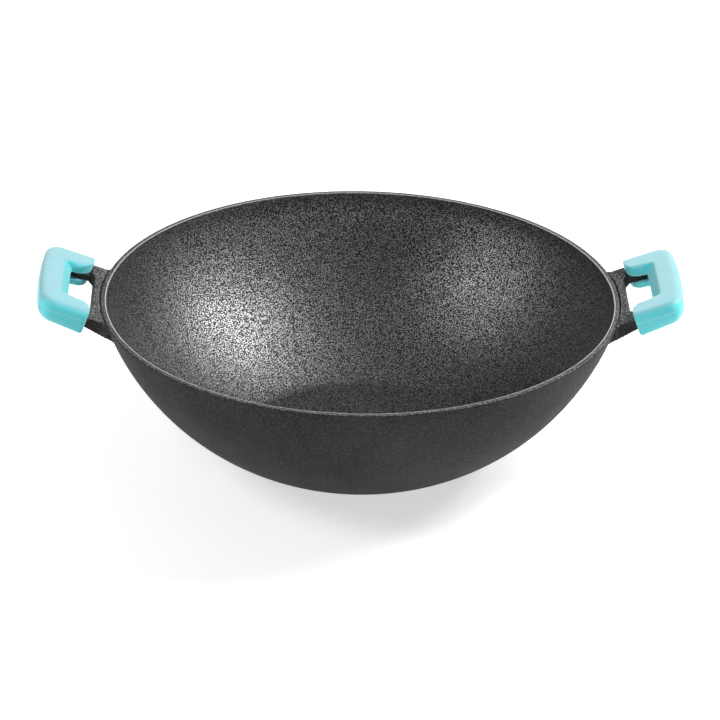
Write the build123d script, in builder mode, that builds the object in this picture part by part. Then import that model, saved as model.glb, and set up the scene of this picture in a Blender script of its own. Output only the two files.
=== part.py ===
from build123d import *
from math import acos, cos, degrees, radians, sin, sqrt
import os

# A cast-iron kadai: a deep round bowl with a flat base and two loop handles cast in one with it.
# Each loop wears a moulded silicone grip that pulls straight off it, outwards.
# Millimetres. Z is up, the origin is the middle of the flat base, the handles lie along X.

# Bowl
rim_radius = 140.0
bowl_height = 88.0
base_radius = 60.0
wall_curve = 138.8  # radius of the wall's outside, from the rim down to the base
wall = 3.4
floor = 4.2
rim_bevel = 0.8
base_round = 8.0
floor_round = 18.0

# Loop handles, measured outwards from the rim along a plane that tilts up, and square to it
handle_tilt = 20.0  # degrees
handle_drop = 2.5  # the root's middle plane below the rim, at the rim's outer edge
root_thickness = 6.0
root_side_blend = 7.0
root_under_blend = 5.0
root_under_start = 1.0  # the blend under the root starts this far inside the rim's outer edge
root_under_angle = 45.0  # degrees
shoulder_reach = 6.4
loop_drop = 0.8  # the loop's middle plane below the root's
loop_thickness = 3.2
loop_half_span = 33.2
loop_reach = 32.4
loop_width = 10.7
loop_bulge = 3.0
loop_corner_round = 7.5
hole_start = 4.0
hole_round = 4.5

# Silicone grips
grip_clearance = 0.3
grip_side_wall = 2.5
grip_top_wall = 5.9
grip_bottom_wall = 4.0
grip_arm_lip = 3.0
grip_bar_lip = 3.6
grip_edge_land = 1.1
grip_facet_run = 5.4
grip_top_round = 3.8
grip_bottom_round = 4.0
grip_outer_end_round = 4.6
grip_inner_end_round = 10.5
grip_gap_round = 3.6

root_start = -3 * root_thickness
hole_end = loop_reach - loop_width
hole_half_span = loop_half_span - loop_width

loop_middle = Plane.XY.offset(-loop_drop)
mouth = loop_thickness + 2 * grip_clearance
grip_start = shoulder_reach + grip_clearance
grip_grow = grip_clearance + grip_side_wall
mouth_bottom = -loop_drop - mouth / 2
mouth_top = mouth_bottom + mouth
grip_bottom = mouth_bottom - grip_bottom_wall
grip_top = mouth_top + grip_top_wall
gap_end = hole_end - grip_bar_lip
gap_half_span = hole_half_span - grip_arm_lip

# Centre of the wall's arc, which passes the rim's outer edge and the edge of the base
slant = sqrt((rim_radius - base_radius) ** 2 + bowl_height**2)
offset_share = sqrt(wall_curve**2 / slant**2 - 1 / 4)
curve_x = (rim_radius + base_radius) / 2 - offset_share * bowl_height
curve_z = bowl_height / 2 + offset_share * (rim_radius - base_radius)


def bowl_form(bottom, corner_round, inset=0):
    """Half section of the bowl as a filled form, with its wall moved inwards by inset."""
    with BuildSketch() as form:
        with Locations((curve_x, curve_z)):
            Circle(wall_curve - inset)
        with Locations((0, bottom)):
            Rectangle(
                rim_radius, bowl_height - bottom, align=(Align.MIN, Align.MIN), mode=Mode.INTERSECT
            )
        fillet(form.vertices().group_by(Axis.Y)[0].sort_by(Axis.X)[-1], corner_round)
    return form.sketch


def loop_outline(start, grow=0):
    """Outside of a loop seen square to its plane, from start outwards, moved outwards by grow."""
    half_span = loop_half_span + grow
    tip = loop_reach + grow
    corner = tip - loop_bulge
    with BuildSketch() as outline:
        with BuildLine():
            Polyline((corner, -half_span), (start, -half_span), (start, half_span), (corner, half_span))
            ThreePointArc((corner, half_span), (tip, 0), (corner, -half_span))
        make_face()
        fillet(outline.vertices().group_by(Axis.X)[-1], loop_corner_round + grow)
    return outline.sketch


def root_outline():
    """The thick root of a loop, whose sides run in from the shoulder and blend into the rim."""
    reach = rim_radius + root_side_blend
    across = loop_half_span + root_side_blend
    start = (sqrt(reach**2 - across**2) - rim_radius) / cos(radians(handle_tilt))
    turn = degrees(acos(across / reach))
    with BuildSketch() as outline:
        with BuildLine():
            left = JernArc((start, loop_half_span), (-1, 0), root_side_blend, -turn)
            right = JernArc((start, -loop_half_span), (-1, 0), root_side_blend, turn)
            left_corner = (shoulder_reach, loop_half_span)
            right_corner = (shoulder_reach, -loop_half_span)
            Polyline(left @ 0, left_corner, right_corner, right @ 0)
            Polyline(left @ 1, (root_start, (left @ 1).Y), (root_start, (right @ 1).Y), right @ 1)
        make_face()
    return outline.sketch


def facet_section(end):
    """Section of the space above the facet on the grip's outer bar, out to end."""
    with BuildSketch() as section:
        with Locations((grip_start, 0)):
            Rectangle(end - grip_start, 2 * gap_half_span, align=(Align.MIN, Align.CENTER))
        fillet(section.vertices().group_by(Axis.X)[-1], grip_gap_round)
    return section.sketch


def handle_plane(side):
    """Plane of a loop: x runs outwards along the tilt, z is square to the loop, side is 1 or -1."""
    tilt = radians(handle_tilt)
    return Plane(
        origin=(side * rim_radius, 0, bowl_height - handle_drop),
        x_dir=(side * cos(tilt), 0, sin(tilt)),
        z_dir=(-side * sin(tilt), 0, cos(tilt)),
    )


# The blend under a loop's root, which follows the curve of the wall
root_face = root_outline()
wall_axis = Axis((-rim_radius / cos(radians(handle_tilt)), 0, 0), (0, 0, 1))

with BuildPart() as root_blend:
    with BuildSketch(Plane.XZ):
        with BuildLine():
            under = (-root_under_start, -root_thickness / 2)
            arc = JernArc(under, (-1, 0), root_under_blend, root_under_angle)
            run = PolarLine(arc @ 1, 2 * wall, direction=arc % 1)
            Polyline(run @ 1, ((run @ 1).X, 0), (-root_under_start, 0), under)
        make_face()
    revolve(axis=wall_axis, revolution_arc=360)
    with BuildSketch():
        with Locations((root_start, 0)):
            Rectangle(
                shoulder_reach - root_start, 2 * loop_half_span, align=(Align.MIN, Align.CENTER)
            )
    extrude(amount=-2 * root_thickness, mode=Mode.INTERSECT)

# One loop by itself: its thick root, the thinner bar with a shoulder, and the finger hole
with BuildPart() as loop:
    add(root_blend.part)
    with BuildSketch():
        add(root_face)
    extrude(amount=root_thickness / 2, both=True)
    with BuildSketch(loop_middle):
        add(loop_outline(0))
    extrude(amount=loop_thickness / 2, both=True)
    with BuildSketch():
        with Locations(((hole_start + hole_end) / 2, 0)):
            RectangleRounded(hole_end - hole_start, 2 * hole_half_span, hole_round)
    extrude(amount=root_thickness, both=True, mode=Mode.SUBTRACT)

# The casting: both loops, cut off inside the wall, then the wall and floor of the bowl
outer_form = bowl_form(0, base_round)
middle_form = bowl_form(floor / 2, base_round, wall / 2)
inner_form = bowl_form(floor, floor_round, wall)

with BuildPart() as cast_bowl:
    with Locations(handle_plane(1), handle_plane(-1)):
        add(loop.part)
    with BuildSketch(Plane.YZ):
        add(middle_form)
    revolve(axis=Axis.Z, mode=Mode.SUBTRACT)
    with BuildSketch(Plane.YZ) as wall_section:
        add(outer_form)
        add(inner_form, mode=Mode.SUBTRACT)
        chamfer(wall_section.vertices().group_by(Axis.Y)[-1], rim_bevel)
    revolve(axis=Axis.Z)
cast_bowl.part.label = "cast_bowl"

# One grip by itself: a channel that goes round the loop and is open towards the bowl
with BuildPart() as grip:
    with BuildSketch(Plane.XY.offset(grip_bottom)) as outline:
        add(loop_outline(grip_start, grip_grow))
        with Locations((grip_start, 0)):
            Rectangle(
                gap_end - grip_start,
                2 * gap_half_span,
                align=(Align.MIN, Align.CENTER),
                mode=Mode.SUBTRACT,
            )
        ends = outline.vertices().group_by(Axis.X)[0].sort_by(Axis.Y)
        fillet(outline.vertices().group_by(Axis.X)[1], grip_gap_round)
        fillet(ends[1:3], grip_inner_end_round)
        fillet((ends[0], ends[3]), grip_outer_end_round)
    extrude(amount=grip_top - grip_bottom)
    fillet(grip.edges().group_by(Axis.Z)[-1], grip_top_round)
    fillet(grip.edges().group_by(Axis.Z)[0], grip_bottom_round)
    facet_bottom = mouth_top + grip_edge_land
    facet_slope = grip_facet_run / (grip_top - facet_bottom)
    with BuildSketch(Plane.XY.offset(facet_bottom)):
        add(facet_section(gap_end))
    with BuildSketch(Plane.XY.offset(grip_top + grip_top_wall)):
        add(facet_section(gap_end + facet_slope * (grip_top + grip_top_wall - facet_bottom)))
    loft(mode=Mode.SUBTRACT)
    with BuildSketch(Plane.XY.offset(mouth_bottom)):
        add(loop_outline(0, grip_clearance))
    extrude(amount=mouth, mode=Mode.SUBTRACT)

os.makedirs("parts", exist_ok=True)
export_step(cast_bowl.part, "parts/cast_bowl.step")

for name, side in (("left_grip", -1), ("right_grip", 1)):
    with BuildPart() as placed_grip:
        with Locations(handle_plane(side)):
            add(grip.part)
    placed_grip.part.label = name
    export_step(placed_grip.part, f"parts/{name}.step")
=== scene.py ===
"""A cast-iron kadai and its two silicone grips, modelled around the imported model.

The file is laid out as an add-on: settings, one operator for each piece or group of like pieces,
one for the studio, and a panel that lists them. Sizes are in metres, Z is up and the handles lie
along X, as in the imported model.
"""

import math

import bmesh
import bpy
from mathutils import Matrix, Vector


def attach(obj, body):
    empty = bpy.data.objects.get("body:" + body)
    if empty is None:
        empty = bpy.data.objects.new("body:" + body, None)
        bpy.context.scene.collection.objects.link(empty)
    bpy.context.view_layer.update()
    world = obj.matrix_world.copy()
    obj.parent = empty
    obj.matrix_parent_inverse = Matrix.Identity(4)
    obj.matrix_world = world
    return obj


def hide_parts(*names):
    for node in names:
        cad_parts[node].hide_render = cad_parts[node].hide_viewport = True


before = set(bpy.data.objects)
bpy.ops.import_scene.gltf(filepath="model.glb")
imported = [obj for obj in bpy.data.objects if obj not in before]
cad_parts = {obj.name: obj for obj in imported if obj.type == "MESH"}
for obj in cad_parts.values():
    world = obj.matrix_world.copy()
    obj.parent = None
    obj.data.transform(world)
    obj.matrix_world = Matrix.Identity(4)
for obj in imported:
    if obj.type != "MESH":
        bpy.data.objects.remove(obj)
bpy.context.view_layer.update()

bl_info = {
    "name": "Cast-iron kadai",
    "version": (1, 0, 0),
    "blender": (4, 5, 0),
    "location": "3D View > Sidebar > Kadai",
    "description": "Models a cast-iron kadai with two pull-off silicone grips",
    "category": "Add Mesh",
}

BOWL_NODE = "cast_bowl"
GRIP_NODES = (  # node, body, and turn from the right side
    ("left_grip", "left_grip_body", math.pi),
    ("right_grip", "right_grip_body", 0.0),
)
IRON_SLOT = "seasoned_iron"
SILICONE_SLOT = "aqua_silicone"

TURNS = 192  # sides of a turned solid
WALL_RINGS = 26  # rings of the wall above its lower round, on each side
ROUND_RINGS = 6  # rings of that round
SKIN = 0.0004  # voxel of a softened piece's even skin
BOW_CUTS = (-4, -2.7, -1.35, 0, 1.35, 2.7, 4)  # cuts across a bowed slab, in sixths of its half span
DRAFT_CUTS = (0.4, 0.7, 0.88, 1.0)  # cuts below a grip's parting line, as shares of the way down
DRAFT_POWER = 2.2  # how late on the way down the outer wall leans in
SIDE_DRAFT = 0.8  # the lean of the sides, as a share of the lean of the tip
PATCH_INSET = 0.00012  # how far a loop's patch of wall lies inside the bowl's face
JOIN_DEPTH = 0.004  # a root is blended into the wall from this far inside the wall's face
JOIN_REACH = 0.0032  # and as far out as this
FACES_UP = 0.9  # least upward part of the normal of a level face
STEEP = 0.7  # largest upward or downward part of the normal of a steep face
LIT_POINT = (0, 0, 0.05)  # the point that the lights face
SLACK = 1e-5  # how far a corner may be from where it is looked for
MARGIN = 1e-4  # a little more, for cuts that must pass clear of a corner


# Settings


def length(name, default, description):
    """A property for one size of a piece."""
    return bpy.props.FloatProperty(
        name=name,
        description=description,
        default=default,
        precision=4,
        unit="LENGTH",
        subtype="DISTANCE",
    )


def angle(name, default, description):
    """A property for an angle, given in degrees."""
    return bpy.props.FloatProperty(
        name=name, description=description, default=math.radians(default), subtype="ANGLE"
    )


def number(name, default, description):
    """A property for a plain number."""
    return bpy.props.FloatProperty(name=name, description=description, default=default)


def share(name, default, description):
    """A property for a strength or share from nothing to all."""
    return bpy.props.FloatProperty(
        name=name, description=description, default=default, min=0.0, max=1.0, subtype="FACTOR"
    )


def colour(name, default, description):
    """A property for a colour."""
    return bpy.props.FloatVectorProperty(
        name=name, description=description, default=default, size=3, min=0.0, max=1.0, subtype="COLOR"
    )


class KADAI_PG_bowl(bpy.types.PropertyGroup):
    """Sizes and colours of the cast bowl."""

    rim_radius: length("Rim radius", 0.140, "Outside of the rim, from the middle")
    height: length("Height", 0.088, "From the flat base to the rim")
    base_radius: length("Base radius", 0.060, "Where the wall would meet the flat base")
    wall_curve: length("Wall curve", 0.1388, "Radius of the wall's arc, on the outside")
    wall: length("Wall", 0.0034, "Thickness of the wall")
    floor: length("Floor", 0.0042, "Thickness of the floor")
    rim_round: length("Rim round", 0.0009, "Round of the rim's two edges")
    base_round: length("Base round", 0.008, "Round between the base and the wall")
    floor_round: length("Floor round", 0.018, "Round between the floor and the wall, inside")
    iron: colour("Iron", (0.010, 0.010, 0.010), "Colour of the seasoned iron")
    # Besides the worn high spots inside, this colour paints the outside's faces that look up lighter,
    # as painted top light
    wear_and_top_light_iron: colour("Worn iron", (0.31, 0.31, 0.307), "Colour of the iron on its high spots")
    bare_iron: colour("Bare iron", (0.80, 0.80, 0.80), "Colour of the iron on the rim's inner edge")
    pebble: length("Pebble", 0.00066, "Size of the pebbles inside the bowl")
    grain: length("Grain", 0.0011, "Size of the grain outside the bowl")
    relief: length("Relief", 0.00010, "Height of the pebbles")
    patch: length("Patch", 0.040, "Size of the patches of uneven wear")
    smooth_band: length("Smooth band", 0.012, "Height of the duller band under the rim, inside")
    roughness: share("Roughness", 0.70, "Roughness of the iron outside the bowl")


class KADAI_PG_loop(bpy.types.PropertyGroup):
    """Sizes of a cast loop, along its tilted plane and square to it."""

    tilt: angle("Tilt", 20, "Angle of a loop above the level")
    drop: length("Drop", 0.0025, "The root's middle below the rim")
    root_thickness: length("Root thickness", 0.006, "Thickness of the root at the bowl")
    root_blend: length("Root blend", 0.007, "Round between the root's sides and the rim")
    shoulder_reach: length("Shoulder reach", 0.0064, "From the rim to the shoulder")
    bar_drop: length("Bar drop", 0.0008, "The bar's middle below the root's middle")
    thickness: length("Thickness", 0.0032, "Thickness of the bar inside the grip")
    half_span: length("Half span", 0.0332, "Half of the loop's width along the rim")
    reach: length("Reach", 0.0324, "From the rim to the loop's outer edge")
    width: length("Width", 0.0107, "Width of the bar and the arms")
    bulge: length("Bulge", 0.003, "How far the outer edge bows out")
    corner_round: length("Corner round", 0.0075, "Round of the loop's outer corners")
    hole_start: length("Hole start", 0.0045, "From the rim to the finger hole")
    hole_round: length("Hole round", 0.0045, "Round of the hole's corners")
    gusset_reach: length("Gusset reach", 0.0055, "From the rim to the gusset's thin end")
    gusset_slope: share("Gusset slope", 0.2, "Growth of the gusset below the root towards the wall")
    groove: length("Groove", 0.00035, "Gap between the rim and a loop's top face")
    groove_depth: length("Groove depth", 0.0008, "Depth of that gap below the rim")


class KADAI_PG_grip(bpy.types.PropertyGroup):
    """Sizes and colours of a silicone grip."""

    clearance: length("Clearance", 0.0003, "Gap between the grip and the loop")
    corner_room: length("Corner room", 0.00012, "Extra gap at the sides, for the mouth's soft corners")
    side_wall: length("Side wall", 0.0025, "Silicone beside the loop")
    top_wall: length("Top wall", 0.0059, "Silicone above the loop")
    bottom_wall: length("Bottom wall", 0.004, "Silicone below the loop")
    arm_lip: length("Arm lip", 0.003, "How far the lips stand over the hole beside the arms")
    bar_lip: length("Bar lip", 0.0036, "How far the lips stand over the hole beside the bar")
    edge_land: length("Edge land", 0.0011, "Height of the lip below the facet")
    facet_run: length("Facet run", 0.0054, "Width of the facet on the outer bar")
    top_round: length("Top round", 0.0038, "Round of the upper edges")
    bottom_round: length("Bottom round", 0.0022, "Round of the lower edges")
    corner_round: length("Corner round", 0.0078, "Round of the outer corners, seen from above")
    outer_end_round: length("Outer end round", 0.0022, "Round of the ends' outer corners")
    inner_end_round: length("Inner end round", 0.0105, "Round of the ends' inner corners")
    gap_round: length("Gap round", 0.0046, "Round of the gap's outer corners")
    draft: length("Draft", 0.0036, "How far the outer wall leans in towards the underside")
    bulge: length("Bulge", 0.0021, "How far the outer wall bows out")
    parting: length("Parting line", 0.0016, "The parting line above the loop's own plane")
    silicone: colour("Silicone", (0.11, 0.80, 0.86), "Colour of the silicone")
    # This paler colour is a painted sheen on faces that look up, and also the colour of the handling
    # marks
    sheen_and_marks_silicone: colour("Pale silicone", (0.235, 0.545, 0.61), "Colour where it is handled and dusty")
    # The parting line's paler colour is a painted highlight along its ridge; the ridge itself is a bump
    parting_line_highlight: colour("Line silicone", (0.50, 0.92, 0.95), "Colour of the parting line")
    grain: length("Grain", 0.0009, "Size of the fine grain of the skin")
    mark: length("Mark", 0.013, "Size of the handling marks")
    relief: length("Relief", 0.00016, "Height of the grain and the marks")
    roughness: share("Roughness", 0.44, "Roughness of the silicone")


class KADAI_PG_studio(bpy.types.PropertyGroup):
    """The camera, the floor and the lights."""

    azimuth: angle("Azimuth", -1.5125, "Turn of the camera")
    elevation: angle("Elevation", 26.6454, "Camera above the level")
    roll: angle("Roll", 0.9055, "Roll of the camera")
    distance: length("Distance", 2.0, "From the camera to the point it looks at")
    aim_side: length("Aim side", 0.00038, "The point it looks at, along X")
    aim_height: length("Aim height", 0.04961, "The point it looks at, above the floor")
    lens: number("Lens", 183.98, "Focal length in millimetres")
    floor_colour: colour("Floor", (0.80, 0.80, 0.80), "Colour of the floor")
    floor_glow: share("Floor glow", 0.60, "Light added to the floor where the camera sees it")
    key_power: number("Key", 22.0, "Light from the right")
    fill_power: number("Fill", 10.0, "Light from the left")
    back_power: number("Back", 9.0, "Light from low behind")
    top_power: number("Top", 2.5, "Light from above")
    front_power: number("Front", 10.5, "Light from low in front")
    sky: share("Sky", 0.06, "Strength of the even light all round")


# Selecting and shaping


def start_clear():
    """Leaves edit mode and deselects everything."""
    if bpy.context.object and bpy.context.object.mode != "OBJECT":
        bpy.ops.object.mode_set(mode="OBJECT")
    bpy.ops.object.select_all(action="DESELECT")


def make_active(piece):
    """Makes one piece the only selected and the active one."""
    start_clear()
    piece.select_set(True)
    bpy.context.view_layer.objects.active = piece


def pick(kind, test):
    """In edit mode, selects the vertices, edges or faces that pass the test."""
    bpy.ops.mesh.select_mode(type={"verts": "VERT", "edges": "EDGE", "faces": "FACE"}[kind])
    bpy.ops.mesh.select_all(action="DESELECT")
    mesh = bpy.context.edit_object.data
    cage = bmesh.from_edit_mesh(mesh)
    found = [part for part in getattr(cage, kind) if test(part)]
    for part in found:
        part.select_set(True)
    cage.select_flush_mode()
    bmesh.update_edit_mesh(mesh)
    if not found:
        raise RuntimeError(f"nothing to select among the {kind} of {bpy.context.edit_object.name}")


def name_piece(piece, name):
    """Names a piece and its mesh."""
    piece.name = name
    piece.data.name = name


def middle_of(edge):
    """Middle point of an edge."""
    return (edge.verts[0].co + edge.verts[1].co) / 2


def runs_along(edge, axis):
    """True if an edge runs along the axis, 0, 1 or 2."""
    step = edge.verts[1].co - edge.verts[0].co
    return abs(step[axis]) > SLACK and all(abs(step[i]) < SLACK for i in range(3) if i != axis)


def block(name, low, high):
    """A box between two corners, as a new object at the origin."""
    start_clear()
    low, high = Vector(low), Vector(high)
    bpy.ops.mesh.primitive_cube_add(size=1.0, location=(low + high) / 2)
    piece = bpy.context.object
    name_piece(piece, name)
    piece.scale = high - low
    bpy.ops.object.transform_apply(location=True, rotation=True, scale=True)
    return piece


def round_picked(radius, segments):
    """In edit mode, rounds the selected edges."""
    bpy.ops.mesh.bevel(
        offset=radius, offset_type="OFFSET", segments=segments, profile=0.5, affect="EDGES"
    )


def round_upright_edges(test, radius, segments):
    """In edit mode, rounds the upright edges whose middle passes the test."""
    pick("edges", lambda edge: runs_along(edge, 2) and test(middle_of(edge)))
    round_picked(radius, segments)


def cut_across(point, normal):
    """In edit mode, cuts the whole mesh along a plane, and keeps both sides."""
    bpy.ops.mesh.select_all(action="SELECT")
    bpy.ops.mesh.bisect(plane_co=point, plane_no=normal)


def bowed_slab(name, start, grow, low, high, loop, bulge, corner):
    """A flat slab with the outline of a loop, grown outwards, between two heights."""
    half_span = loop.half_span + grow
    tip = loop.reach + grow
    slab = block(name, (start, -half_span, low), (tip, half_span, high))
    bpy.ops.object.mode_set(mode="EDIT")
    rows = [half_span * step / 6 for step in BOW_CUTS]
    for row in rows:
        cut_across((0, row, 0), (0, 1, 0))
    for row in (-half_span, *rows, half_span):
        pull = bulge * (row / half_span) ** 2
        if pull > 0:
            pick("verts", lambda vert: abs(vert.co.y - row) < SLACK and vert.co.x > tip - SLACK)
            bpy.ops.transform.translate(value=(-pull, 0, 0))
    round_upright_edges(
        lambda middle: abs(middle.y) > half_span - SLACK and middle.x > tip - bulge - MARGIN,
        radius=corner,
        segments=10,
    )
    bpy.ops.object.mode_set(mode="OBJECT")
    return slab


def combine(piece, tool, operation):
    """Joins a tool to a piece or cuts it away, and removes the tool."""
    make_active(piece)
    change = piece.modifiers.new(operation.title(), "BOOLEAN")
    change.operation = operation
    change.solver = "EXACT"
    change.object = tool
    bpy.ops.object.modifier_apply(modifier=change.name)
    bpy.data.objects.remove(tool)


def ease(piece, repeats, group=""):
    """Smooths a piece, or one vertex group of it."""
    change = piece.modifiers.new("Ease", "SMOOTH")
    change.factor = 0.5
    change.iterations = repeats
    change.vertex_group = group
    bpy.ops.object.modifier_apply(modifier=change.name)


def soften(piece, repeats):
    """Gives a piece an even skin and rounds its edges a little, as a mould does."""
    make_active(piece)
    skin = piece.modifiers.new("Skin", "REMESH")
    skin.mode = "VOXEL"
    skin.voxel_size = SKIN
    skin.use_smooth_shade = True
    bpy.ops.object.modifier_apply(modifier=skin.name)
    ease(piece, repeats)


def handle_place(settings, turn):
    """Place of a loop's own plane at one side of the bowl."""
    bowl, loop = settings.kadai_bowl, settings.kadai_loop
    origin = Matrix.Translation((bowl.rim_radius, 0, bowl.height - loop.drop))
    return Matrix.Rotation(turn, 4, "Z") @ origin @ Matrix.Rotation(-loop.tilt, 4, "Y")


def put(piece, place):
    """Moves a piece to its place and keeps that place in its mesh."""
    make_active(piece)
    piece.matrix_world = place
    bpy.ops.object.transform_apply(location=True, rotation=True, scale=True)


def copy_of(piece, name):
    """A copy of a piece with its own mesh."""
    make_active(piece)
    bpy.ops.object.duplicate(linked=False)
    twin = bpy.context.object
    name_piece(twin, name)
    return twin


def finish_piece(piece, material, body, slot, *nodes):
    """Gives a piece its material and body, and says which nodes it stands for. The slot is not used."""
    piece.data.materials.clear()
    piece.data.materials.append(material)
    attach(piece, body)
    if nodes:
        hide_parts(*nodes)


# Materials


class Wire:
    """A socket of a shader, which takes part in sums as a number does."""

    def __init__(self, nodes, socket):
        self.nodes = nodes
        self.socket = socket

    def math(self, operation, *others):
        """A Math node on this value and others."""
        return self.nodes.add(
            "ShaderNodeMath", {"operation": operation}, dict(enumerate((self, *others)))
        )

    def __add__(self, other):
        return self.math("ADD", other)

    __radd__ = __add__

    def __sub__(self, other):
        return self.math("SUBTRACT", other)

    def __rsub__(self, other):
        return self.nodes.add("ShaderNodeMath", {"operation": "SUBTRACT"}, {0: other, 1: self})

    def __mul__(self, other):
        return self.math("MULTIPLY", other)

    def step(self, low, high):
        """Rises smoothly from 0 at low to 1 at high."""
        return self.nodes.add(
            "ShaderNodeMapRange",
            {"interpolation_type": "SMOOTHSTEP"},
            {"Value": self, "From Min": low, "From Max": high},
            "Result",
        )


class Nodes:
    """The nodes of one material."""

    def __init__(self, name):
        self.material = bpy.data.materials.new(name)
        self.material.use_nodes = True
        self.tree = self.material.node_tree
        self.tree.nodes.clear()

    def add(self, kind, settings, inputs, output=0):
        """Adds a node with its settings and its sockets' values or links, and returns one output."""
        node = self.tree.nodes.new(kind)
        for key, value in settings.items():
            setattr(node, key, value)
        for key, value in inputs.items():
            if isinstance(value, Wire):
                self.tree.links.new(value.socket, node.inputs[key])
            else:
                node.inputs[key].default_value = value
        return Wire(self, node.outputs[output])

    def place(self):
        """The point on the object, and its three parts."""
        point = self.add("ShaderNodeTexCoord", {}, {}, "Object")
        split = self.tree.nodes.new("ShaderNodeSeparateXYZ")
        self.tree.links.new(point.socket, split.inputs[0])
        return point, [Wire(self, socket) for socket in split.outputs]

    def facing_up(self):
        """How far the surface faces up, from -1 to 1."""
        normal = self.add("ShaderNodeNewGeometry", {}, {}, "Normal")
        return self.add("ShaderNodeSeparateXYZ", {}, {0: normal}, "Z")

    def noise(self, point, size, detail, roughness):
        """Noise whose patches are about this size across."""
        return self.add(
            "ShaderNodeTexNoise",
            {"noise_dimensions": "3D"},
            {"Vector": point, "Scale": 1.0 / size, "Detail": detail, "Roughness": roughness},
            "Fac",
        )

    def mix_colour(self, amount, first, second):
        """A colour between two others."""
        # The Mix node takes its colours on inputs 6 and 7, and gives the mixed one on output 2
        colours = {6: first, 7: second}
        inputs = {
            key: value if isinstance(value, Wire) else (*value, 1) for key, value in colours.items()
        }
        return self.add("ShaderNodeMix", {"data_type": "RGBA"}, {0: amount, **inputs}, 2)

    def bump(self, height, distance):
        """A bump of this height in metres."""
        inputs = {"Height": height, "Distance": distance, "Strength": 1.0}
        return self.add("ShaderNodeBump", {}, inputs)

    def show(self, surface):
        """Makes a shader the material's surface."""
        output = self.tree.nodes.new("ShaderNodeOutputMaterial")
        self.tree.links.new(surface.socket, output.inputs["Surface"])

    def finish(self, inputs):
        """Ends the material with the usual surface shader."""
        surface = self.add("ShaderNodeBsdfPrincipled", {}, inputs)
        self.show(surface)
        return self.material


def inside_share(bowl, radius, z):
    """1 on the bowl's inner face and 0 on its outside, its rim and the loops."""
    curve_x, curve_z = wall_centre(bowl)
    across, up = radius - curve_x, z - curve_z
    depth = (across * across + up * up).math("SQRT")
    middle = bowl.wall_curve - bowl.wall / 2
    fade = 0.0006  # half width of the change between the two faces, inside the wall
    within = 1.0 - depth.step(middle - fade, middle + fade)
    below_rim = 1.0 - z.step(bowl.height - 0.0016, bowl.height - 0.0004)  # not on the rim's top
    above_base = z.step(bowl.floor * 0.4, bowl.floor * 0.6)  # nor on the underside
    return within * below_rim * above_base


def bare_edge(bowl, radius, z):
    """1 on the thin line of bare iron along the rim's inner edge."""
    middle = bowl.rim_radius - bowl.wall + 0.0005  # of the line, on the rounded edge
    near_line = 1.0 - (radius - middle).math("ABSOLUTE").step(0.00010, 0.00036)
    return near_line * z.step(bowl.height - 0.0014, bowl.height - 0.0008)


def iron_material(settings):
    """Oil-seasoned cast iron: pebbled inside the bowl, a finer grain outside and on the loops."""
    bowl = settings.kadai_bowl
    nodes = Nodes("pebbled_iron")
    point, (x, y, z) = nodes.place()
    radius = (x * x + y * y).math("SQRT")
    inside = inside_share(bowl, radius, z)
    outside = 1.0 - inside
    edge = bare_edge(bowl, radius, z)
    lumps = nodes.noise(point, bowl.pebble, detail=0.5, roughness=0.4)
    pits = nodes.noise(point, bowl.pebble * 0.7, detail=0.0, roughness=0.5)
    fine = nodes.noise(point, bowl.grain, detail=3.0, roughness=0.6)
    patches = nodes.noise(point, bowl.patch, detail=3.0, roughness=0.55)

    # Inside, the tops of the pebbles are worn bright, less so in the band under the rim
    band = z.step(bowl.height - bowl.smooth_band, bowl.height - 0.002)
    tops = (lumps * 0.75 + pits * 0.25).step(0.495, 0.575) * (1.0 - band * 0.6)
    height = (tops * 0.4 + lumps * 1.2 + pits * 0.8) * inside + fine * 2.2 * outside

    # Outside, wear lies in specks on the grain and in patches, and faces that look up are painted
    # lighter, with brighter specks, as painted top light
    specks = fine.step(0.46, 0.64)
    upward = nodes.facing_up().step(0.60, 0.90)
    specks_and_painted_top_light = specks * (upward * 0.75 + 0.12)
    wear_and_painted_top_light = specks_and_painted_top_light + patches.step(0.35, 0.70) * 0.04 + upward * 0.05 + 0.01

    # Inside this is the worn tops; outside it is the wear plus the painted top light on faces that look
    # up
    lit = tops * inside + wear_and_painted_top_light * outside
    worn = nodes.mix_colour(lit, bowl.iron, bowl.wear_and_top_light_iron)
    metal = tops * inside * 0.95 + lit * outside * 0.8
    shine = inside * (tops * 0.14 + 0.18)
    return nodes.finish(
        {
            "Base Color": nodes.mix_colour(edge * 0.8, worn, bowl.bare_iron),
            "Metallic": metal.math("MAXIMUM", edge * 0.9),
            "Roughness": bowl.roughness - shine - edge * 0.25 + fine * 0.06 - patches * 0.06,
            "Normal": nodes.bump(height, bowl.relief),
            "IOR": 1.3,
        }
    )


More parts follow.
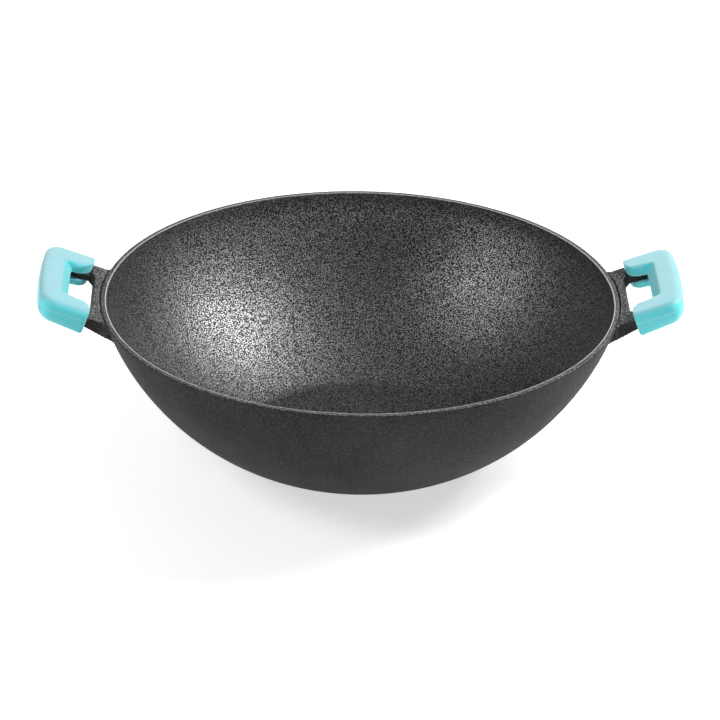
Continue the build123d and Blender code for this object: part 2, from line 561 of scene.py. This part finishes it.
def silicone_material(settings):
    """Satin silicone, a little translucent, with a faint parting line and handling marks, a painted
    sheen on faces that look up and a painted highlight along the parting line.
    """
    bowl, loop, grip = settings.kadai_bowl, settings.kadai_loop, settings.kadai_grip
    nodes = Nodes("satin_silicone")
    point, (x, _, z) = nodes.place()
    sine, cosine = math.sin(loop.tilt), math.cos(loop.tilt)
    rise = z * cosine - x.math("ABSOLUTE") * sine
    level = (bowl.height - loop.drop) * cosine - bowl.rim_radius * sine + grip.parting
    line = 1.0 - (rise - level).math("ABSOLUTE").step(0.00010, 0.00040)
    skin = nodes.noise(point, grip.grain, detail=3.0, roughness=0.6)
    marks = nodes.noise(point, grip.mark, detail=3.0, roughness=0.55)
    # Faces that look up are painted paler, a painted sheen of the light from above; the handling marks
    # add some of the same paler colour as real marks
    upward = nodes.facing_up().step(0.35, 0.95)
    pale = (upward * 0.85 + marks.step(0.35, 0.80) * 0.15).math("MINIMUM", 1.0)
    marks_and_painted_sheen = nodes.mix_colour(pale, grip.silicone, grip.sheen_and_marks_silicone)
    return nodes.finish(
        {
            # The parting line is a real ridge in the bump, and is painted paler as a painted highlight
            "Base Color": nodes.mix_colour(line * 0.45, marks_and_painted_sheen, grip.parting_line_highlight),
            "Roughness": grip.roughness + skin * 0.14 + marks * 0.08,
            "Normal": nodes.bump(skin * 0.3 + line * 0.6 + marks * 0.4, grip.relief),
            "IOR": 1.43,
            "Subsurface Weight": 0.3,
            "Subsurface Radius": (0.004, 0.010, 0.010),
            "Subsurface Scale": 0.3,
            "Sheen Weight": 0.5,
            "Sheen Roughness": 0.5,
            "Coat Weight": 0.6,
            "Coat Roughness": 0.5,
        }
    )


def floor_material(settings):
    """A pale floor that the camera sees as white, with the object's shadow on it."""
    nodes = Nodes("studio_floor")
    studio = settings.kadai_studio
    rays = nodes.tree.nodes.new("ShaderNodeLightPath")
    camera_ray, glossy_ray, through_ray = (
        Wire(nodes, rays.outputs[name])
        for name in ("Is Camera Ray", "Is Glossy Ray", "Is Transmission Ray")
    )
    shown = (camera_ray + glossy_ray + through_ray).math("MINIMUM", 1.0)
    surface = nodes.add("ShaderNodeBsdfDiffuse", {}, {"Color": (*studio.floor_colour, 1)})
    added = {"Color": (1, 1, 1, 1), "Strength": shown * studio.floor_glow}
    glow = nodes.add("ShaderNodeEmission", {}, added)
    nodes.show(nodes.add("ShaderNodeAddShader", {}, {0: surface, 1: glow}))
    return nodes.material


def material_of(name, make):
    """The material of this name, made the first time it is asked for."""
    return bpy.data.materials.get(name) or make(bpy.context.scene)


# Pieces


def spread(low, high, count):
    """Values from low to high at this many even steps, both ends included."""
    return [low + (high - low) * step / count for step in range(count + 1)]


def on_circle(x, z, radius, turns):
    """The points of a circle at these angles."""
    return [(x + radius * math.cos(turn), z + radius * math.sin(turn)) for turn in turns]


def wall_centre(bowl):
    """Centre of the wall's arc, which passes the rim's outer edge and the edge of the base."""
    slant = math.hypot(bowl.rim_radius - bowl.base_radius, bowl.height)
    offset = math.sqrt((bowl.wall_curve / slant) ** 2 - 0.25)
    across = (bowl.rim_radius + bowl.base_radius) / 2 - offset * bowl.height
    return across, bowl.height / 2 + offset * (bowl.rim_radius - bowl.base_radius)


def wall_radius(bowl, height, inset):
    """Radius of the wall at a height, moved inwards from the outside by inset."""
    curve_x, curve_z = wall_centre(bowl)
    return curve_x + math.sqrt((bowl.wall_curve - inset) ** 2 - (curve_z - height) ** 2)


def side_rings(bowl, inset, bottom, corner_round):
    """Radius and height of the rings of one side of the wall, from its bottom up to the rim."""
    curve_x, curve_z = wall_centre(bowl)
    curve = bowl.wall_curve - inset
    corner_z = bottom + corner_round
    corner_x = curve_x + math.sqrt((curve - corner_round) ** 2 - (curve_z - corner_z) ** 2)
    meet = math.atan2(corner_z - curve_z, corner_x - curve_x)
    top = math.asin((bowl.height - curve_z) / curve)
    corner_turns = spread(-math.pi / 2, meet, ROUND_RINGS)
    wall_turns = spread(meet, top, WALL_RINGS)[1:]
    return [
        *on_circle(corner_x, corner_z, corner_round, corner_turns),
        *on_circle(curve_x, curve_z, curve, wall_turns),
    ]


def turned(name, rings):
    """A closed solid of revolution round Z through rings of radius and height, from its bottom."""
    start_clear()
    bpy.ops.mesh.primitive_circle_add(
        vertices=TURNS, radius=rings[0][0], fill_type="TRIFAN", location=(0, 0, rings[0][1])
    )
    piece = bpy.context.object
    name_piece(piece, name)
    bpy.ops.object.transform_apply(location=True, rotation=True, scale=True)
    bpy.ops.object.mode_set(mode="EDIT")
    pick("edges", lambda edge: edge.is_boundary)
    for (radius, height), (wider, higher) in zip(rings, rings[1:]):
        bpy.ops.mesh.extrude_edges_move(TRANSFORM_OT_translate={"value": (0, 0, higher - height)})
        bpy.ops.transform.resize(
            value=(wider / radius, wider / radius, 1), center_override=(0, 0, higher)
        )
    bpy.ops.mesh.extrude_edges_move(TRANSFORM_OT_translate={"value": (0, 0, 0)})
    bpy.ops.mesh.merge(type="CENTER")
    bpy.ops.mesh.select_all(action="SELECT")
    bpy.ops.mesh.remove_doubles(threshold=1e-6)
    bpy.ops.mesh.normals_make_consistent(inside=False)
    bpy.ops.object.mode_set(mode="OBJECT")
    return piece


def runs_round_rim(edge, bowl):
    """True if an edge lies on the top of the rim and runs round the bowl."""
    first, second = (vert.co for vert in edge.verts)
    on_top = min(first.z, second.z) > bowl.height - SLACK
    return on_top and abs(first.xy.length - second.xy.length) < SLACK


class KADAI_OT_bowl(bpy.types.Operator):
    """Models the bowl as one closed casting, ring by ring from the base over the rim to the floor"""

    bl_idname = "kadai.bowl"
    bl_label = "Bowl"

    def execute(self, context):
        bowl = context.scene.kadai_bowl
        outer = side_rings(bowl, inset=0.0, bottom=0.0, corner_round=bowl.base_round)
        inner = side_rings(bowl, bowl.wall, bowl.floor, bowl.floor_round)
        base_ring = (outer[0][0] * 0.5, 0.0)
        floor_ring = (inner[0][0] * 0.5, bowl.floor)
        piece = turned("bowl", [base_ring, *outer, *reversed(inner), floor_ring])
        bpy.ops.object.mode_set(mode="EDIT")
        pick("edges", lambda edge: runs_round_rim(edge, bowl))
        round_picked(bowl.rim_round, segments=4)
        bpy.ops.object.mode_set(mode="OBJECT")
        bpy.ops.object.shade_smooth_by_angle(angle=math.radians(40))
        finish_piece(piece, material_of("pebbled_iron", iron_material), "pot", IRON_SLOT, BOWL_NODE)
        return {"FINISHED"}


def root_slab(settings):
    """The thick root of a loop, whose sides run into the rim in a round, with a gusset below."""
    bowl, loop = settings.kadai_bowl, settings.kadai_loop
    reach = bowl.rim_radius + loop.root_blend
    across = loop.half_span + loop.root_blend
    start = (math.sqrt(reach**2 - across**2) - bowl.rim_radius) / math.cos(loop.tilt)
    meet = across * bowl.rim_radius / reach
    back = -3 * loop.root_thickness  # well inside the wall, where the loop is cut off later
    half = loop.root_thickness / 2
    far = 4 * loop.root_thickness  # well past the root, for the tools that cut it
    root = block("root", (back, -meet, -half), (loop.shoulder_reach, meet, half))
    for side in (-1, 1):
        low, high = sorted((side * loop.half_span, side * far * 2))
        combine(root, block("side", (start, low, -far), (far, high, far)), "DIFFERENCE")
        start_clear()
        bpy.ops.mesh.primitive_cylinder_add(
            vertices=96, radius=loop.root_blend, depth=2 * far, location=(start, side * across, 0)
        )
        combine(root, bpy.context.object, "DIFFERENCE")
    depth = (loop.gusset_reach - back) * loop.gusset_slope
    gusset = block(
        "gusset", (back, -loop.half_span, -half - depth), (loop.gusset_reach, loop.half_span, 0)
    )
    bpy.ops.object.mode_set(mode="EDIT")
    pick("verts", lambda vert: vert.co.z < -half and vert.co.x > 0)
    bpy.ops.transform.translate(value=(0, 0, depth))
    bpy.ops.object.mode_set(mode="OBJECT")
    combine(root, gusset, "UNION")
    return root


def plain_loop(settings):
    """A loop in its own plane: its root, its bar and the finger hole, still with hard edges."""
    loop = settings.kadai_loop
    piece = root_slab(settings)
    half = loop.thickness / 2
    low, high = -loop.bar_drop - half, -loop.bar_drop + half
    bar = bowed_slab("bar", 0.0, 0.0, low, high, loop, loop.bulge, loop.corner_round)
    combine(piece, bar, "UNION")
    half_hole = loop.half_span - loop.width
    hole_end = loop.reach - loop.width
    tall = 0.02  # past the root's top and underside
    hole = block("hole", (loop.hole_start, -half_hole, -tall), (hole_end, half_hole, tall))
    bpy.ops.object.mode_set(mode="EDIT")
    round_upright_edges(lambda middle: True, loop.hole_round, segments=8)
    bpy.ops.object.mode_set(mode="OBJECT")
    combine(piece, hole, "DIFFERENCE")
    return piece


def wall_patch(settings, place):
    """The part of the wall that a loop grows out of, in the loop's own plane."""
    bowl = settings.kadai_bowl
    low = bowl.height * 0.82  # below the root's gusset
    high = bowl.height - bowl.rim_round - 0.0002  # just below the rim's round
    rings = [(wall_radius(bowl, z, PATCH_INSET), z) for z in spread(low, high, 8)]
    patch = turned("patch", rings)
    inner, outer = bowl.rim_radius * 0.87, bowl.rim_radius * 1.1
    half = bowl.rim_radius * 0.4  # past the root's blends, to both sides
    limit = block("limit", (inner, -half, 0), (outer, half, bowl.rim_radius))
    combine(patch, limit, "INTERSECT")
    put(patch, place.inverted())
    return patch


def junction_group(piece, place, settings):
    """A vertex group round the join of a root and the wall."""
    bowl, loop = settings.kadai_bowl, settings.kadai_loop
    make_active(piece)
    piece.vertex_groups.new(name="junction")
    bpy.ops.object.mode_set(mode="EDIT")

    def near(vert):
        point = place @ vert.co
        gap = point.xy.length - wall_radius(bowl, min(point.z, bowl.height), 0.0)
        return -JOIN_DEPTH < gap < JOIN_REACH and point.z < bowl.height + loop.drop

    pick("verts", near)
    bpy.ops.object.vertex_group_assign()
    bpy.ops.object.mode_set(mode="OBJECT")


def trim_at_wall(piece, settings):
    """Cuts a placed loop off inside the wall, and parts its top face from the rim by a groove."""
    bowl, loop = settings.kadai_bowl, settings.kadai_loop
    above = bowl.height * 2
    heights = spread(bowl.height * 0.6, bowl.height, 10)
    rings = [(wall_radius(bowl, z, bowl.wall / 2), z) for z in heights]
    combine(piece, turned("core", [*rings, (rings[-1][0], above)]), "DIFFERENCE")
    lip = bowl.rim_radius + loop.groove
    groove = turned("groove", [(lip, bowl.height - loop.groove_depth), (lip, above)])
    combine(piece, groove, "DIFFERENCE")


class KADAI_OT_loops(bpy.types.Operator):
    """Models one cast loop with its thick root and finger hole, and copies it to the other side"""

    bl_idname = "kadai.loops"
    bl_label = "Loops"

    def execute(self, context):
        scene = context.scene
        place = handle_place(scene, 0.0)
        piece = plain_loop(scene)
        combine(piece, wall_patch(scene, place), "UNION")
        soften(piece, repeats=2)
        junction_group(piece, place, scene)
        ease(piece, repeats=24, group="junction")
        put(piece, place)
        trim_at_wall(piece, scene)
        piece.vertex_groups.clear()
        name_piece(piece, "right_loop")
        make_active(piece)
        bpy.ops.object.shade_smooth_by_angle(angle=math.radians(50))
        twin = copy_of(piece, "left_loop")
        put(twin, Matrix.Rotation(math.pi, 4, "Z"))
        for each in (piece, twin):
            finish_piece(each, material_of("pebbled_iron", iron_material), "pot", IRON_SLOT)
        return {"FINISHED"}


def grip_levels(loop, grip):
    """Heights of a grip's underside, mouth, facet edge and top, above its loop's own plane."""
    mouth = loop.thickness / 2 + grip.clearance
    floor_of_mouth, roof_of_mouth = -loop.bar_drop - mouth, -loop.bar_drop + mouth
    return (
        floor_of_mouth - grip.bottom_wall,
        floor_of_mouth,
        roof_of_mouth,
        roof_of_mouth + grip.edge_land,
        roof_of_mouth + grip.top_wall,
    )


def grip_outline(loop, grip):
    """A grip's start, half span and tip, and its gap's end and half width, in its loop's plane."""
    grow = grip.clearance + grip.side_wall
    return (
        loop.shoulder_reach + grip.clearance,
        loop.half_span + grow,
        loop.reach + grow,
        loop.reach - loop.width - grip.bar_lip,
        loop.half_span - loop.width - grip.arm_lip,
    )


def gap_tool(loop, grip, back):
    """The finger gap of a grip, from back outwards, as a tool to cut with."""
    low, _, _, _, high = grip_levels(loop, grip)
    _, _, _, gap_end, gap_half = grip_outline(loop, grip)
    grow = grip.clearance + grip.side_wall
    gap = block("gap", (back - grow, -gap_half, low - grow), (gap_end, gap_half, high + grow))
    bpy.ops.object.mode_set(mode="EDIT")
    round_upright_edges(lambda middle: middle.x > gap_end - SLACK, grip.gap_round, segments=8)
    bpy.ops.object.mode_set(mode="OBJECT")
    return gap


def facet_tool(loop, grip, back):
    """The space above the facet on a grip's outer bar, as a tool to cut with."""
    _, _, _, facet, high = grip_levels(loop, grip)
    _, _, _, gap_end, gap_half = grip_outline(loop, grip)
    grow = grip.clearance + grip.side_wall
    slope = grip.facet_run / (high - facet)
    wedge = block("wedge", (back - grow, -gap_half, facet), (gap_end, gap_half, high))
    bpy.ops.object.mode_set(mode="EDIT")
    pick("verts", lambda vert: vert.co.z > high - SLACK and vert.co.x > gap_end - SLACK)
    bpy.ops.transform.translate(value=(grip.facet_run, 0, 0))
    pick("faces", lambda face: face.normal.z > FACES_UP)
    bpy.ops.mesh.extrude_region_move(TRANSFORM_OT_translate={"value": (slope * grow, 0, grow)})
    bpy.ops.object.mode_set(mode="OBJECT")
    return wedge


def lean_in(loop, grip, ridge):
    """In edit mode, leans a channel's outer wall in, more and more below the parting line."""
    low = grip_levels(loop, grip)[0]
    _, half_span, tip, _, _ = grip_outline(loop, grip)
    bend = tip - grip.bulge - grip.corner_round - MARGIN
    for way_down in DRAFT_CUTS:
        level = grip.parting + (low - grip.parting) * way_down
        pull = grip.draft * way_down**DRAFT_POWER
        if way_down < 1:
            cut_across((0, 0, level), (0, 0, 1))
        pick("verts", lambda vert: abs(vert.co.z - level) < SLACK and vert.co.x > ridge)
        shorter = (tip - ridge - pull) / (tip - ridge)
        bpy.ops.transform.resize(value=(shorter, 1, 1), center_override=(ridge, 0, level))
        pick("verts", lambda vert: abs(vert.co.z - level) < SLACK and vert.co.x > bend - pull)
        narrower = (half_span - pull * SIDE_DRAFT) / half_span
        bpy.ops.transform.resize(value=(1, narrower, 1), center_override=(0, 0, level))


def round_level_edges(height, radius, test):
    """In edit mode, rounds the edges at a height that bound a steep face and pass the test."""
    pick(
        "edges",
        lambda edge: all(abs(vert.co.z - height) < SLACK for vert in edge.verts)
        and any(abs(face.normal.z) < STEEP for face in edge.link_faces)
        and test(middle_of(edge)),
    )
    round_picked(radius, segments=6)


def channel(settings, back):
    """The outside of a grip as a bowed channel that runs on towards the bowl as far as back."""
    loop, grip = settings.kadai_loop, settings.kadai_grip
    low, _, _, _, high = grip_levels(loop, grip)
    start, _, _, gap_end, gap_half = grip_outline(loop, grip)
    grow = grip.clearance + grip.side_wall
    ridge = gap_end + grip.facet_run
    body = bowed_slab("grip", back, grow, low, high, loop, grip.bulge, grip.corner_round)
    combine(body, gap_tool(loop, grip, back), "DIFFERENCE")
    combine(body, facet_tool(loop, grip, back), "DIFFERENCE")
    make_active(body)
    bpy.ops.object.mode_set(mode="EDIT")
    cut_across((start, 0, 0), (1, 0, 0))
    cut_across((0, 0, grip.parting), (0, 0, 1))
    lean_in(loop, grip, ridge)

    def past_back(middle):
        return middle.x > back + SLACK

    def off_facet(middle):
        return abs(middle.y) > gap_half - SLACK or middle.x > ridge + MARGIN

    round_level_edges(high, grip.top_round, lambda middle: past_back(middle) and off_facet(middle))
    round_level_edges(low, grip.bottom_round, past_back)
    bpy.ops.object.mode_set(mode="OBJECT")
    return body


def end_limits(settings):
    """Two blocks that give the channel's ends their round from below and their rounds from above."""
    loop, grip = settings.kadai_loop, settings.kadai_grip
    low = grip_levels(loop, grip)[0]
    start, half_span, tip, gap_end, gap_half = grip_outline(loop, grip)
    far = tip * 2

    def at_start(middle):
        return middle.x < start + SLACK

    below = block("below", (start, -far, low), (far, far, tip))
    bpy.ops.object.mode_set(mode="EDIT")
    pick(
        "edges",
        lambda edge: runs_along(edge, 1) and at_start(middle_of(edge)) and middle_of(edge).z < 0,
    )
    round_picked(grip.bottom_round, segments=5)
    bpy.ops.object.mode_set(mode="OBJECT")
    above = block("above", (start, -half_span, -far), (far, half_span, far))
    slot = block("slot", (start - tip, -gap_half, -far * 2), (gap_end - MARGIN, gap_half, far * 2))
    combine(above, slot, "DIFFERENCE")
    make_active(above)
    bpy.ops.object.mode_set(mode="EDIT")
    round_upright_edges(
        lambda middle: at_start(middle) and abs(middle.y) < gap_half + SLACK,
        radius=grip.inner_end_round,
        segments=12,
    )
    round_upright_edges(
        lambda middle: at_start(middle) and abs(middle.y) > half_span - SLACK,
        radius=grip.outer_end_round,
        segments=6,
    )
    bpy.ops.object.mode_set(mode="OBJECT")
    return below, above


class KADAI_OT_grips(bpy.types.Operator):
    """Models one silicone grip, a channel round the loop with a facet on its bar, and copies it"""

    bl_idname = "kadai.grips"
    bl_label = "Grips"

    def execute(self, context):
        scene = context.scene
        loop, grip = scene.kadai_loop, scene.kadai_grip
        piece = channel(scene, -loop.width)
        soften(piece, repeats=2)
        for limit in end_limits(scene):
            combine(piece, limit, "INTERSECT")
        soften(piece, repeats=9)
        _, floor_of_mouth, roof_of_mouth, _, _ = grip_levels(loop, grip)
        mouth = bowed_slab(
            "mouth",
            start=0.0,
            grow=grip.clearance + grip.corner_room,
            low=floor_of_mouth,
            high=roof_of_mouth,
            loop=loop,
            bulge=loop.bulge,
            corner=loop.corner_round + grip.clearance,
        )
        combine(piece, mouth, "DIFFERENCE")
        soften(piece, repeats=3)
        twin = copy_of(piece, "left_grip_cover")
        name_piece(piece, "right_grip_cover")
        for each, (node, body, turn) in zip((twin, piece), GRIP_NODES):
            put(each, handle_place(scene, turn))
            finish_piece(
                each, material_of("satin_silicone", silicone_material), body, SILICONE_SLOT, node
            )
        return {"FINISHED"}


def way_to(azimuth, elevation):
    """Direction of a light or the camera: azimuth from the front to the right, and elevation."""
    return Vector(
        (
            math.sin(azimuth) * math.cos(elevation),
            -math.cos(azimuth) * math.cos(elevation),
            math.sin(elevation),
        )
    )


def add_light(name, power, size, azimuth, elevation, distance):
    """A soft panel that faces the lit point, from an azimuth and elevation in degrees."""
    start_clear()
    way = way_to(math.radians(azimuth), math.radians(elevation))
    bpy.ops.object.light_add(type="AREA", location=Vector(LIT_POINT) + way * distance)
    lamp = bpy.context.object
    lamp.name = name
    lamp.rotation_euler = way.to_track_quat("Z", "Y").to_euler()
    lamp.data.shape = "RECTANGLE"
    lamp.data.size, lamp.data.size_y = size
    lamp.data.energy = power


def add_camera(studio):
    """The camera, which looks at the kadai from the front and above."""
    start_clear()
    way = way_to(studio.azimuth, studio.elevation)
    target = Vector((studio.aim_side, 0, studio.aim_height))
    bpy.ops.object.camera_add(location=target + way * studio.distance)
    camera = bpy.context.object
    camera.name = "studio_camera"
    facing = way.to_track_quat("Z", "Y").to_matrix()
    camera.rotation_euler = (facing @ Matrix.Rotation(studio.roll, 3, "Z")).to_euler()
    camera.data.sensor_width = 36.0
    camera.data.lens = studio.lens
    camera.data.clip_start = 0.05
    camera.data.clip_end = 30.0
    bpy.context.scene.camera = camera


class KADAI_OT_studio(bpy.types.Operator):
    """Sets the floor, the soft lights, the even light all round and the camera"""

    bl_idname = "kadai.studio"
    bl_label = "Studio"

    def execute(self, context):
        scene = context.scene
        studio = scene.kadai_studio
        start_clear()
        bpy.ops.mesh.primitive_plane_add(size=12.0, location=(0, 0, 0))
        ground = context.object
        ground.name = "ground"
        ground.data.materials.append(floor_material(scene))
        add_light("key_panel", studio.key_power, (0.38, 0.6), azimuth=103, elevation=42, distance=1.4)
        add_light("fill_panel", studio.fill_power, (0.5, 0.6), azimuth=-78, elevation=38, distance=1.5)
        add_light("back_panel", studio.back_power, (2.0, 0.55), azimuth=180, elevation=20, distance=1.8)
        add_light("top_panel", studio.top_power, (1.8, 1.8), azimuth=0, elevation=89, distance=1.6)
        add_light("front_panel", studio.front_power, (2.4, 0.4), azimuth=0, elevation=6, distance=2.2)
        world = bpy.data.worlds.new("studio_air")
        scene.world = world
        world.use_nodes = True
        background = world.node_tree.nodes["Background"]
        background.inputs["Color"].default_value = (1, 1, 1, 1)
        background.inputs["Strength"].default_value = studio.sky
        add_camera(studio)
        scene.view_settings.view_transform = "Standard"
        return {"FINISHED"}


class KADAI_PT_panel(bpy.types.Panel):
    """Lists the settings and the operators."""

    bl_label = "Kadai"
    bl_idname = "KADAI_PT_panel"
    bl_space_type = "VIEW_3D"
    bl_region_type = "UI"
    bl_category = "Kadai"

    def draw(self, context):
        for title, group, operator in ORDER:
            box = self.layout.box()
            box.label(text=title)
            settings = getattr(context.scene, group)
            for name in settings.__annotations__:
                box.prop(settings, name)
            box.operator(operator)


ORDER = (
    ("Bowl", "kadai_bowl", "kadai.bowl"),
    ("Loops", "kadai_loop", "kadai.loops"),
    ("Grips", "kadai_grip", "kadai.grips"),
    ("Studio", "kadai_studio", "kadai.studio"),
)

GROUPS = {
    "kadai_bowl": KADAI_PG_bowl,
    "kadai_loop": KADAI_PG_loop,
    "kadai_grip": KADAI_PG_grip,
    "kadai_studio": KADAI_PG_studio,
}

CLASSES = (
    *GROUPS.values(),
    KADAI_OT_bowl,
    KADAI_OT_loops,
    KADAI_OT_grips,
    KADAI_OT_studio,
    KADAI_PT_panel,
)


def register():
    """Registers the classes and hangs the settings on the scene."""
    for each in CLASSES:
        bpy.utils.register_class(each)
    for name, group in GROUPS.items():
        setattr(bpy.types.Scene, name, bpy.props.PointerProperty(type=group))


def unregister():
    """Takes the settings and the classes off again."""
    for name in GROUPS:
        delattr(bpy.types.Scene, name)
    for each in reversed(CLASSES):
        bpy.utils.unregister_class(each)


def main():
    """Makes all the pieces and the studio."""
    register()
    bpy.ops.kadai.bowl()
    bpy.ops.kadai.loops()
    bpy.ops.kadai.grips()
    bpy.ops.kadai.studio()


if __name__ == "__main__":
    main()
